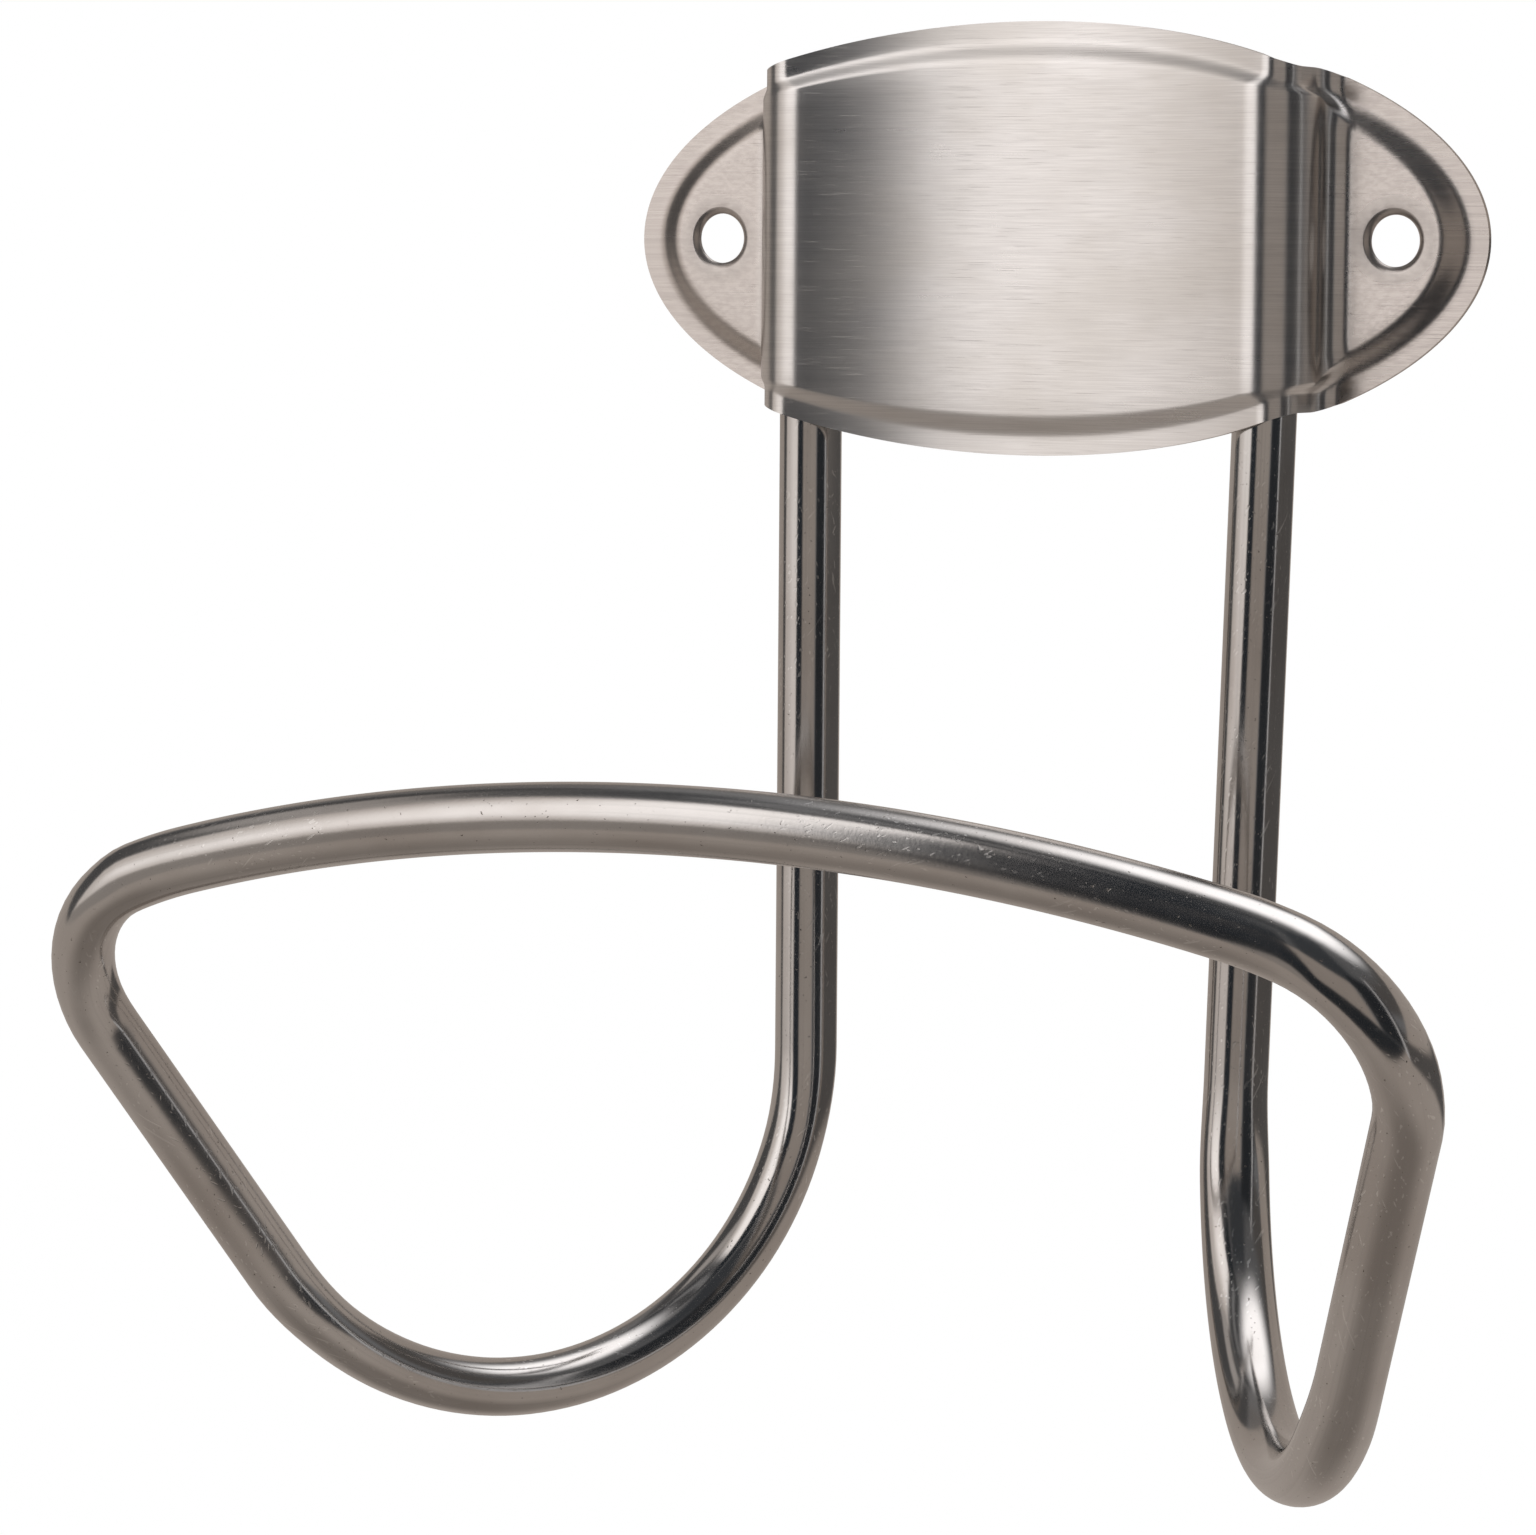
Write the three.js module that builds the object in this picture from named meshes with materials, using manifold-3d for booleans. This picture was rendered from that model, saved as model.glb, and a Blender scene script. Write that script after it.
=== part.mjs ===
// Wall-mounted holder for a hair dryer. A pressed sheet-steel face plate screws to the wall, and one
// bent steel tube hangs from it: two legs, two J bends and a bowed front bar that cradle the dryer.
//
// Millimetres. X runs along the wall, -Y points out of the wall and +Z is up. The origin lies on the
// wall's surface, midway between the two screw holes.

import * as THREE from 'three';
import { mergeVertices } from 'three/addons/utils/BufferGeometryUtils.js';
import Module from 'manifold-3d';

const wasm = await Module();
wasm.setup();

const RADIANS = Math.PI / 180;
const TOUCH_GAP = 0.3;

// Face plate: an elliptical sheet with a flat lip all round, inside which the metal is pressed
// forward. Its ears lie on the wall and its middle stands off it, dished towards the wall.
const PLATE_HALF_LENGTH = 58.75;
const PLATE_HALF_HEIGHT = 27.2;
const TIP_HALF_HEIGHT = 0.8;
const SHEET = 0.8;
const LIP_WIDTH = 2.2;
const PANEL_BAND = 3.1;
const SHOULDER_BAND = 1.6;
const EAR_BAND = 2.6;

// How finely the plate's mesh is divided along each stretch of its section, and the share of its
// height that a row keeps from the row outside it at the least.
const PANEL_STEPS = 8;
const SHOULDER_STEPS = 8;
const FOOT_STEPS = 5;
const EAR_STEPS = 15;
const BAND_SHARES = [0, 0.25, 0.5, 0.75, 1];
const CLOSEST_ROWS = 0.86;
const BISECTIONS = 40;

// The front of the plate in plan, along the lip and along the pressed metal inside it.
const LIP_SECTION = {
  panelStandoff: 7.1,
  dishRadius: 140,
  shoulderX: 33.3,
  shoulderRadius: 3.5,
  footRadius: 3,
  earStandoff: SHEET,
};
const PRESSED_SECTION = {
  panelStandoff: 8.1,
  dishRadius: 139,
  shoulderX: 31.8,
  shoulderRadius: 6.35,
  footRadius: 3,
  earStandoff: 2,
};

const SCREW_SPACING = 93.6;
const SCREW_HOLE_RADIUS = 3.2;
const SCREW_RIM_RADIUS = 4.1;
const SCREW_RIM_DEPTH = 0.5;
const PUNCH_CLEARANCE = 1;
const ROUND_SIDES = 32;

// Tube: its centreline from the top of a leg to the middle of the front bar. Headings are plan
// angles from -Y towards +X, and climbs are angles above the horizontal.
const TUBE_RADIUS = 4;
const TUBE_WALL = 0.9;
const LEG_TOP_Z = 17.5;
const LEG_DATUM = new THREE.Vector3(31.43, -5.7, -27);
const LEG_SLOPE = new THREE.Vector3(-0.017, -0.032, -1);
const LEG_BOTTOM_Z = -104.2;
const J_BEND = { radius: 41.4, heading: 36.1, climb: 54.7 };
const ARM_LENGTH = 37.8;
const CORNER_BEND = { radius: 17, heading: -87.2, climb: 20.7 };
const EASING_BEND = { radius: 60, heading: -84.2, climb: 14.2 };
const DEGREES_PER_RING = 11;
const TUBE_SIDES = 18;
const BORE_SIDES = 10;
const CROWN_STEPS = 5;

// Welds: short beads in the wedge between each leg and the back of the plate. The upper pair lies
// under the pressed metal and the lower pair under the lip.
const WELD_HEIGHTS = { upper: 14.5, lower: -20.5 };
const WELD_OFFSET = new THREE.Vector3(-4.9, -3, 0);
const WELD_HALF_SIZE = new THREE.Vector3(2.3, 2, 3);
const WELD_SIDES = 16;

const STEEL = { color: 0xb9b4ad, metalness: 1 };

function steel(roughness) {
  return new THREE.MeshStandardMaterial({ ...STEEL, roughness });
}

function namedMesh(name, geometry, material) {
  const mesh = new THREE.Mesh(geometry, material);
  mesh.name = name;
  return mesh;
}

// --- Solids ---------------------------------------------------------------------------------

function toSolid(geometry) {
  const bare = geometry.clone();
  bare.deleteAttribute('normal');
  bare.deleteAttribute('uv');
  const merged = mergeVertices(bare, 1e-4);
  return new wasm.Manifold(new wasm.Mesh({
    numProp: 3,
    vertProperties: new Float32Array(merged.attributes.position.array),
    triVerts: new Uint32Array(merged.index.array),
  }));
}

function toGeometry(solid) {
  const mesh = solid.getMesh();
  const geometry = new THREE.BufferGeometry();
  geometry.setAttribute('position', new THREE.BufferAttribute(new Float32Array(mesh.vertProperties), 3));
  geometry.setIndex(new THREE.BufferAttribute(new Uint32Array(mesh.triVerts), 1));
  geometry.computeVertexNormals();
  return geometry;
}

// --- Face plate -----------------------------------------------------------------------------

const smooth = (t) => t * t * (3 - 2 * t);
const clamp01 = (t) => Math.min(1, Math.max(0, t));

function outlineHalfHeight(x, inset = 0) {
  const across = x / (PLATE_HALF_LENGTH - inset);
  return (PLATE_HALF_HEIGHT - inset) * Math.sqrt(Math.max(0, 1 - across * across));
}

// How far inside the outline a point lies: both half-axes of the ellipse through it are shorter
// than the outline's by this much.
function insetAt(x, z) {
  let low = 0;
  let high = PLATE_HALF_HEIGHT;
  for (let step = 0; step < BISECTIONS; step += 1) {
    const middle = (low + high) / 2;
    const inside = Math.abs(x) < PLATE_HALF_LENGTH - middle && Math.abs(z) < outlineHalfHeight(x, middle);
    if (inside) low = middle;
    else high = middle;
  }
  return low;
}

// A point of the plate's section in plan, with its outward normal and the width of the band that
// lifts the metal from the lip there.
function sectionPoint(x, y, normalX, normalY, band) {
  return { x, y, normalX, normalY, band };
}

function panelPoints({ panelStandoff, dishRadius }, tangentAngle) {
  const points = [];
  for (let i = 0; i < PANEL_STEPS; i += 1) {
    const angle = tangentAngle * i / PANEL_STEPS;
    const x = dishRadius * Math.sin(angle);
    const y = -panelStandoff - dishRadius * (1 - Math.cos(angle));
    const band = THREE.MathUtils.lerp(PANEL_BAND, SHOULDER_BAND, (i / PANEL_STEPS) ** 2);
    points.push(sectionPoint(x, y, -Math.sin(angle), -Math.cos(angle), band));
  }
  return points;
}

function shoulderPoints({ panelStandoff, dishRadius, shoulderX, shoulderRadius }, tangentAngle) {
  const points = [];
  const centreY = (dishRadius + shoulderRadius) * Math.cos(tangentAngle) - dishRadius - panelStandoff;
  for (let i = 0; i <= SHOULDER_STEPS; i += 1) {
    const angle = THREE.MathUtils.lerp(-tangentAngle, Math.PI / 2, i / SHOULDER_STEPS);
    const normalX = Math.sin(angle);
    const normalY = -Math.cos(angle);
    const x = shoulderX + shoulderRadius * normalX;
    const y = centreY + shoulderRadius * normalY;
    points.push(sectionPoint(x, y, normalX, normalY, SHOULDER_BAND));
  }
  return points;
}

function footPoints({ shoulderX, shoulderRadius, footRadius, earStandoff }) {
  const points = [];
  const centreX = shoulderX + shoulderRadius + footRadius;
  const centreY = -earStandoff - footRadius;
  for (let i = 0; i <= FOOT_STEPS; i += 1) {
    const angle = (Math.PI / 2) * i / FOOT_STEPS;
    const x = centreX - footRadius * Math.cos(angle);
    const y = centreY + footRadius * Math.sin(angle);
    const band = THREE.MathUtils.lerp(SHOULDER_BAND, EAR_BAND, i / FOOT_STEPS);
    points.push(sectionPoint(x, y, Math.cos(angle), -Math.sin(angle), band));
  }
  return points;
}

function earPoints({ shoulderX, shoulderRadius, footRadius, earStandoff }) {
  const points = [];
  const start = shoulderX + shoulderRadius + footRadius;
  const tip = PLATE_HALF_LENGTH * Math.sqrt(1 - (TIP_HALF_HEIGHT / PLATE_HALF_HEIGHT) ** 2);
  for (let i = 1; i <= EAR_STEPS; i += 1) {
    const x = THREE.MathUtils.lerp(start, tip, Math.sin((Math.PI / 2) * i / EAR_STEPS));
    points.push(sectionPoint(x, -earStandoff, 0, -1, EAR_BAND));
  }
  return points;
}

// The right half of a section, from the middle of the panel to the tip of the ear.
function halfSection(section) {
  const tangentAngle = Math.asin(section.shoulderX / (section.dishRadius + section.shoulderRadius));
  return [
    ...panelPoints(section, tangentAngle),
    ...shoulderPoints(section, tangentAngle),
    ...footPoints(section),
    ...earPoints(section),
  ];
}

function wholeSection(section) {
  const right = halfSection(section);
  const left = right.slice(1).map((p) => sectionPoint(-p.x, p.y, -p.normalX, p.normalY, p.band));
  return [...left.reverse(), ...right];
}

// Heights up the sheet at one point of the section: the edge, the lip's inner border, the lifting
// band and the middle.
function columnHeights({ x, band }) {
  const heights = [outlineHalfHeight(x)];
  for (const share of BAND_SHARES) {
    const wanted = outlineHalfHeight(x, LIP_WIDTH + share * band);
    heights.push(Math.min(wanted, heights[heights.length - 1] * CLOSEST_ROWS));
  }
  const lowerHalf = heights.map((z) => -z).reverse();
  return [...heights, 0, ...lowerHalf];
}

// A pressed sheet between two offsets from its front surface: positive is towards the viewer.
function pressedSheet(frontOffset, backOffset) {
  const lip = wholeSection(LIP_SECTION);
  const pressed = wholeSection(PRESSED_SECTION);
  const grid = lip.map((low, i) => columnHeights(low).map((z) => {
    const high = pressed[i];
    const lift = smooth(clamp01((insetAt(low.x, z) - LIP_WIDTH) / low.band));
    const x = THREE.MathUtils.lerp(low.x, high.x, lift);
    const y = THREE.MathUtils.lerp(low.y, high.y, lift);
    const at = (offset) => [x + low.normalX * offset, y + low.normalY * offset, z];
    return { front: at(frontOffset), back: at(backOffset) };
  }));
  const across = grid.length;
  const up = grid[0].length;
  const positions = [];
  for (const side of ['front', 'back']) {
    for (const line of grid) {
      for (const point of line) positions.push(...point[side]);
    }
  }
  const front = (i, j) => i * up + j;
  const back = (i, j) => across * up + i * up + j;
  const index = [];
  const quad = (a, b, c, d) => index.push(a, b, c, a, c, d);
  for (let i = 0; i < across - 1; i += 1) {
    for (let j = 0; j < up - 1; j += 1) {
      quad(front(i, j), front(i, j + 1), front(i + 1, j + 1), front(i + 1, j));
      quad(back(i, j), back(i + 1, j), back(i + 1, j + 1), back(i, j + 1));
    }
    quad(front(i, 0), front(i + 1, 0), back(i + 1, 0), back(i, 0));
    quad(front(i, up - 1), back(i, up - 1), back(i + 1, up - 1), front(i + 1, up - 1));
  }
  for (let j = 0; j < up - 1; j += 1) {
    quad(front(0, j), back(0, j), back(0, j + 1), front(0, j + 1));
    quad(front(across - 1, j), front(across - 1, j + 1), back(across - 1, j + 1), back(across - 1, j));
  }
  const geometry = new THREE.BufferGeometry();
  geometry.setAttribute('position', new THREE.Float32BufferAttribute(positions, 3));
  geometry.setIndex(index);
  return geometry;
}

// What the punch takes out of an ear: the hole, and the rolled rim around it on the front.
function screwHolePunch(x) {
  const earFront = -PRESSED_SECTION.earStandoff;
  const profile = [
    new THREE.Vector2(0, earFront - PUNCH_CLEARANCE),
    new THREE.Vector2(SCREW_RIM_RADIUS, earFront - PUNCH_CLEARANCE),
    new THREE.Vector2(SCREW_RIM_RADIUS, earFront),
    new THREE.Vector2(SCREW_HOLE_RADIUS, earFront + SCREW_RIM_DEPTH),
    new THREE.Vector2(SCREW_HOLE_RADIUS, PUNCH_CLEARANCE),
    new THREE.Vector2(0, PUNCH_CLEARANCE),
  ];
  const geometry = new THREE.LatheGeometry(profile, ROUND_SIDES);
  geometry.translate(x, 0, 0);
  return toSolid(geometry);
}

function facePlate() {
  const sheet = toSolid(pressedSheet(0, -SHEET));
  const pierced = sheet
    .subtract(screwHolePunch(SCREW_SPACING / 2))
    .subtract(screwHolePunch(-SCREW_SPACING / 2));
  return toGeometry(pierced);
}

// --- Tube -----------------------------------------------------------------------------------

function direction({ heading, climb }) {
  const flat = Math.cos(climb * RADIANS);
  return new THREE.Vector3(
    Math.sin(heading * RADIANS) * flat,
    -Math.cos(heading * RADIANS) * flat,
    Math.sin(climb * RADIANS),
  );
}

function ring(point, tangent) {
  return { point: point.clone(), tangent: tangent.clone() };
}

// Rings round a bend from the last ring to a new direction.
function bendRings(from, towards, radius, fewest = 2) {
  const angle = from.tangent.angleTo(towards);
  const inward = inwardOf(from.tangent, towards);
  const steps = Math.max(fewest, Math.ceil(angle / RADIANS / DEGREES_PER_RING));
  const rings = [];
  for (let i = 1; i <= steps; i += 1) {
    const turned = angle * i / steps;
    const point = from.point.clone()
      .addScaledVector(from.tangent, radius * Math.sin(turned))
      .addScaledVector(inward, radius * (1 - Math.cos(turned)));
    const tangent = from.tangent.clone().multiplyScalar(Math.cos(turned))
      .addScaledVector(inward, Math.sin(turned));
    rings.push(ring(point, tangent));
  }
  return rings;
}

// From a tangent towards the centre of the bend that turns it to a new direction.
function inwardOf(tangent, towards) {
  return towards.clone().addScaledVector(tangent, -tangent.dot(towards)).normalize();
}

// The bar's crown brings the tube level just as it reaches the middle, which fixes its radius.
function crownRings(from) {
  const level = new THREE.Vector3(-1, 0, 0);
  const angle = from.tangent.angleTo(level);
  const inward = inwardOf(from.tangent, level);
  const reach = from.tangent.x * Math.sin(angle) + inward.x * (1 - Math.cos(angle));
  return bendRings(from, level, -from.point.x / reach, CROWN_STEPS);
}

function legPoint(z) {
  return LEG_DATUM.clone().addScaledVector(LEG_SLOPE, LEG_DATUM.z - z);
}

// Rings of the tube's right half, from the top of the leg to the middle of the bar.
function halfTubeRings() {
  const down = LEG_SLOPE.clone().normalize();
  const rings = [ring(legPoint(LEG_TOP_Z), down), ring(legPoint(LEG_BOTTOM_Z), down)];
  const last = () => rings[rings.length - 1];
  rings.push(...bendRings(last(), direction(J_BEND), J_BEND.radius));
  rings.push(ring(last().point.clone().addScaledVector(last().tangent, ARM_LENGTH), last().tangent));
  rings.push(...bendRings(last(), direction(CORNER_BEND), CORNER_BEND.radius));
  rings.push(...bendRings(last(), direction(EASING_BEND), EASING_BEND.radius));
  rings.push(...crownRings(last()));
  return rings;
}

function tubeRings() {
  const right = halfTubeRings();
  const left = right.slice(0, -1).reverse().map(({ point, tangent }) => ring(
    new THREE.Vector3(-point.x, point.y, point.z),
    new THREE.Vector3(tangent.x, -tangent.y, -tangent.z),
  ));
  return [...right, ...left];
}

// A path that an extrusion follows ring by ring, so bends get many rings and straights only two.
class RingPath extends THREE.Curve {
  constructor(rings) {
    super();
    this.rings = rings;
  }

  ringAt(u) {
    return this.rings[Math.round(u * (this.rings.length - 1))];
  }

  getPointAt(u) {
    return this.ringAt(u).point.clone();
  }

  getTangentAt(u) {
    return this.ringAt(u).tangent.clone();
  }
}

function circlePoints(radius, sides) {
  const points = [];
  for (let i = 0; i < sides; i += 1) {
    const angle = 2 * Math.PI * i / sides;
    points.push(new THREE.Vector2(radius * Math.cos(angle), radius * Math.sin(angle)));
  }
  return points;
}

function tubeGeometry() {
  const rings = tubeRings();
  const section = new THREE.Shape(circlePoints(TUBE_RADIUS, TUBE_SIDES));
  section.holes.push(new THREE.Path(circlePoints(TUBE_RADIUS - TUBE_WALL, BORE_SIDES)));
  return new THREE.ExtrudeGeometry(section, {
    steps: rings.length - 1,
    extrudePath: new RingPath(rings),
    bevelEnabled: false,
  });
}

// --- Welds ----------------------------------------------------------------------------------

// A cylinder round the upper leg, wide enough to keep a bead off the tube.
function legClearance() {
  const top = legPoint(LEG_TOP_Z + WELD_HALF_SIZE.z);
  const bottom = legPoint(WELD_HEIGHTS.lower - WELD_HALF_SIZE.z * 2);
  const geometry = new THREE.CylinderGeometry(
    TUBE_RADIUS + TOUCH_GAP,
    TUBE_RADIUS + TOUCH_GAP,
    top.distanceTo(bottom),
    ROUND_SIDES,
  );
  const along = top.clone().sub(bottom).normalize();
  geometry.applyQuaternion(new THREE.Quaternion().setFromUnitVectors(new THREE.Vector3(0, 1, 0), along));
  const middle = top.clone().add(bottom).multiplyScalar(0.5);
  geometry.translate(middle.x, middle.y, middle.z);
  return toSolid(geometry);
}

// A bead beside the right leg.
function weldBead(z) {
  const geometry = new THREE.SphereGeometry(1, WELD_SIDES, WELD_SIDES / 2);
  geometry.scale(WELD_HALF_SIZE.x, WELD_HALF_SIZE.y, WELD_HALF_SIZE.z);
  const centre = legPoint(z).add(WELD_OFFSET);
  geometry.translate(centre.x, centre.y, centre.z);
  const plateClearance = toSolid(pressedSheet(WELD_HALF_SIZE.y * 2, -SHEET - TOUCH_GAP));
  return toGeometry(toSolid(geometry).subtract(legClearance()).subtract(plateClearance));
}

function mirrored(geometry) {
  const flipped = geometry.clone();
  const { array } = flipped.attributes.position;
  for (let i = 0; i < array.length; i += 3) array[i] = -array[i];
  const index = flipped.index.array;
  for (let i = 0; i < index.length; i += 3) [index[i + 1], index[i + 2]] = [index[i + 2], index[i + 1]];
  flipped.computeVertexNormals();
  return flipped;
}

// --- Assembly -------------------------------------------------------------------------------

const holder = new THREE.Group();
holder.add(namedMesh('face_plate', facePlate(), steel(0.32)));
holder.add(namedMesh('bent_tube', tubeGeometry(), steel(0.25)));
for (const [level, z] of Object.entries(WELD_HEIGHTS)) {
  const bead = weldBead(z);
  holder.add(namedMesh(`weld_right_${level}`, bead, steel(0.5)));
  holder.add(namedMesh(`weld_left_${level}`, mirrored(bead), steel(0.5)));
}

export default holder;
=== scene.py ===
from collections import namedtuple
from math import asin, atan2, cos, pi, radians, sin, sqrt

import bmesh
import bpy
from mathutils import Matrix, Vector
from mathutils.bvhtree import BVHTree


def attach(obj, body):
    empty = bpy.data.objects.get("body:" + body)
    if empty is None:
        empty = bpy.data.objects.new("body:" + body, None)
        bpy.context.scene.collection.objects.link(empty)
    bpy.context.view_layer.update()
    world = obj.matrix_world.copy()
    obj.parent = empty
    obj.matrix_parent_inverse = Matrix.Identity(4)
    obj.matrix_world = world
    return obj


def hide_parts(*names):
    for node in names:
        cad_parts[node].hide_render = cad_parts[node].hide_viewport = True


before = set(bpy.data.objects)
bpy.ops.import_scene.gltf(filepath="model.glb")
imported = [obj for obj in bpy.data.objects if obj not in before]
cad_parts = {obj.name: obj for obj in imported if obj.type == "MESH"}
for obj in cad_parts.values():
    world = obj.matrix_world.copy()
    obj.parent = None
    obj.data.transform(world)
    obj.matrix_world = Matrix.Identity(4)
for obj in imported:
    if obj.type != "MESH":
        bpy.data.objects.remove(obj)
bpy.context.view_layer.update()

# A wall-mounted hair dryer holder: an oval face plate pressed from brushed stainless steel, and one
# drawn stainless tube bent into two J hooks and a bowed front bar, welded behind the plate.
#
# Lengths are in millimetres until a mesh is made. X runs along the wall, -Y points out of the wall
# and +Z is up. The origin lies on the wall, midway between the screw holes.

MM = 0.001

# Face plate: an ellipse of sheet steel with a flat lip all round, pressed forward inside the lip.
PLATE_HALF_LENGTH = 58.75
PLATE_HALF_HEIGHT = 27.2
SHEET = 0.8
LIP_WIDTH = 2.2
PANEL_BAND = 3.1
SHOULDER_BAND = 1.6
EAR_BAND = 4.4

# The front of the plate in plan, along the lip and along the pressed metal inside it.
LIP = {
    "standoff": 7.1,
    "dish_radius": 140,
    "shoulder_x": 33.3,
    "shoulder_radius": 3.5,
    "foot_radius": 3,
    "ear_standoff": SHEET,
}
PRESSED = {
    "standoff": 8.1,
    "dish_radius": 139,
    "shoulder_x": 31.8,
    "shoulder_radius": 6.35,
    "foot_radius": 3,
    "ear_standoff": 2,
}

SCREW_X = 46.8
SCREW_HOLE_RADIUS = 3.2
SCREW_RIM_RADIUS = 4.1

# Tube: headings are plan angles from -Y towards +X, and climbs are angles above the horizontal.
TUBE_RADIUS = 4
TUBE_WALL = 0.9
LEG_TOP_Z = 17.5
LEG_DATUM = Vector((31.43, -5.7, -27))
LEG_SLOPE = Vector((-0.017, -0.032, -1))
LEG_BOTTOM_Z = -104.2
J_BEND = {"radius": 41.4, "heading": 36.1, "climb": 54.7, "flat": 0.912, "ease": 0.12}
ARM_LENGTH = 37.8
CORNER_BEND = {"radius": 17, "heading": -87.2, "climb": 20.7, "flat": 0.929, "ease": 0.2}
EASING_BEND = {"radius": 60, "heading": -84.2, "climb": 14.2, "flat": 1, "ease": 0.5}

WELD_HEIGHTS = {"upper": 14.5, "lower": -20.5}


# --- Meshes -----------------------------------------------------------------------------------


def smooth(t):
    return t * t * (3 - 2 * t)


def lerp(a, b, t):
    return a + (b - a) * t


def steps(count):
    """Shares of a stretch from 0 up to 1, without the 0."""
    return [(i + 1) / count for i in range(count)]


def add_piece(name, mesh, material):
    mesh.materials.append(material)
    piece = bpy.data.objects.new(name, mesh)
    bpy.context.scene.collection.objects.link(piece)
    return piece


# --- Face plate -------------------------------------------------------------------------------


def half_height(x, inset):
    across = x / (PLATE_HALF_LENGTH - inset)
    return (PLATE_HALF_HEIGHT - inset) * sqrt(max(0.0, 1 - across * across))


def section_point(section, stretch, t):
    """Where the front surface lies in plan at a share t of one stretch, with its normal there."""
    centres_apart = section["dish_radius"] + section["shoulder_radius"]
    tangent = asin(section["shoulder_x"] / centres_apart)
    shoulder_y = centres_apart * cos(tangent) - (section["dish_radius"] + section["standoff"])
    flank_x = section["shoulder_x"] + section["shoulder_radius"]
    foot_y = -section["ear_standoff"] - section["foot_radius"]
    if stretch == "panel":
        angle = tangent * t
        y = -section["standoff"] - section["dish_radius"] * (1 - cos(angle))
        return Vector((section["dish_radius"] * sin(angle), y)), Vector((-sin(angle), -cos(angle)))
    if stretch == "shoulder":
        angle = lerp(-tangent, pi / 2, t)
        normal = Vector((sin(angle), -cos(angle)))
        return Vector((section["shoulder_x"], shoulder_y)) + normal * section["shoulder_radius"], normal
    if stretch == "flank":
        return Vector((flank_x, lerp(shoulder_y, foot_y, t))), Vector((1, 0))
    angle = pi / 2 * t
    foot_x = flank_x + section["foot_radius"]
    normal = Vector((cos(angle), -sin(angle)))
    return Vector((foot_x, foot_y)) - normal * section["foot_radius"], normal


# From the plate's middle outwards: how many columns of vertices a stretch has, and how wide the
# pressed band is at a share t of it.
STRETCHES = {
    "panel": (30, lambda t: lerp(PANEL_BAND, SHOULDER_BAND, t * t)),
    "shoulder": (26, lambda t: SHOULDER_BAND),
    "flank": (5, lambda t: SHOULDER_BAND),
    "foot": (12, lambda t: lerp(SHOULDER_BAND, EAR_BAND, t)),
}
# Rows of vertices from the outline inwards: at these shares of the lip, then over the pressed band,
# then from one band to the other.
EDGE_ROWS = [0, 0.12, 0.45, 0.75, 1]
BAND_ROWS = 10
INNER_ROWS = 16
EAR_COLUMNS = 34


def edge_insets(band):
    """Insets of the rows from the outline to the pressed metal, each with how far it is lifted."""
    rows = [(LIP_WIDTH * share, 0.0) for share in EDGE_ROWS]
    rows += [(LIP_WIDTH + band * share, smooth(share)) for share in steps(BAND_ROWS)]
    return rows


def folded_column(edge):
    """A whole column, made from the rows of its upper edge."""
    x, y, top, step = edge[-1]
    inner = [(x, y, lerp(top, -top, share), step) for share in steps(INNER_ROWS)[:-1]]
    lower = [(x, y, -z, step) for x, y, z, step in reversed(edge)]
    return edge + inner + lower


def section_columns():
    """Columns from the plate's middle to where the ear begins."""
    columns = []
    for stretch, (count, band_at) in STRETCHES.items():
        shares = steps(count)
        if stretch == "panel":
            shares = [0.0] + shares
        for t in shares:
            low, normal = section_point(LIP, stretch, t)
            high, _ = section_point(PRESSED, stretch, t)
            edge = []
            for inset, lift in edge_insets(band_at(t)):
                place = low.lerp(high, lift)
                edge.append((place.x, place.y, half_height(low.x, inset), normal * -SHEET))
            columns.append(folded_column(edge))
    return columns


def ear_columns():
    """Columns that fan round the ear, so that its rows follow the outline to the tip and back."""
    start = LIP["shoulder_x"] + LIP["shoulder_radius"] + LIP["foot_radius"]
    shift = PRESSED["shoulder_x"] + PRESSED["shoulder_radius"] + PRESSED["foot_radius"] - start
    columns = []
    for share in steps(EAR_COLUMNS):
        edge = []
        for inset, lift in edge_insets(EAR_BAND):
            length = PLATE_HALF_LENGTH - inset
            height = PLATE_HALF_HEIGHT - inset
            angle = (1 - share) * atan2(sqrt(length**2 - start**2), start)
            x = length * cos(angle)
            z = height * sin(angle)
            moved = lift * shift * (PLATE_HALF_LENGTH - x) / (PLATE_HALF_LENGTH - start)
            y = -lerp(LIP["ear_standoff"], PRESSED["ear_standoff"], lift)
            edge.append((x + moved, y, z, Vector((0, SHEET))))
        columns.append(folded_column(edge))
    return columns


def plate_columns():
    right = section_columns() + ear_columns()
    left = [[(-x, y, z, Vector((-step.x, step.y))) for x, y, z, step in column] for column in right[1:]]
    return left[::-1] + right


def lengths_along(columns):
    """How far each column lies from the sheet's left end, along its bends at mid height."""
    middle_row = len(columns[0]) // 2
    lengths = [0.0]
    for before, now in zip(columns, columns[1:]):
        gap = Vector(now[middle_row][:2]) - Vector(before[middle_row][:2])
        lengths.append(lengths[-1] + gap.length)
    return lengths


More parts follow.
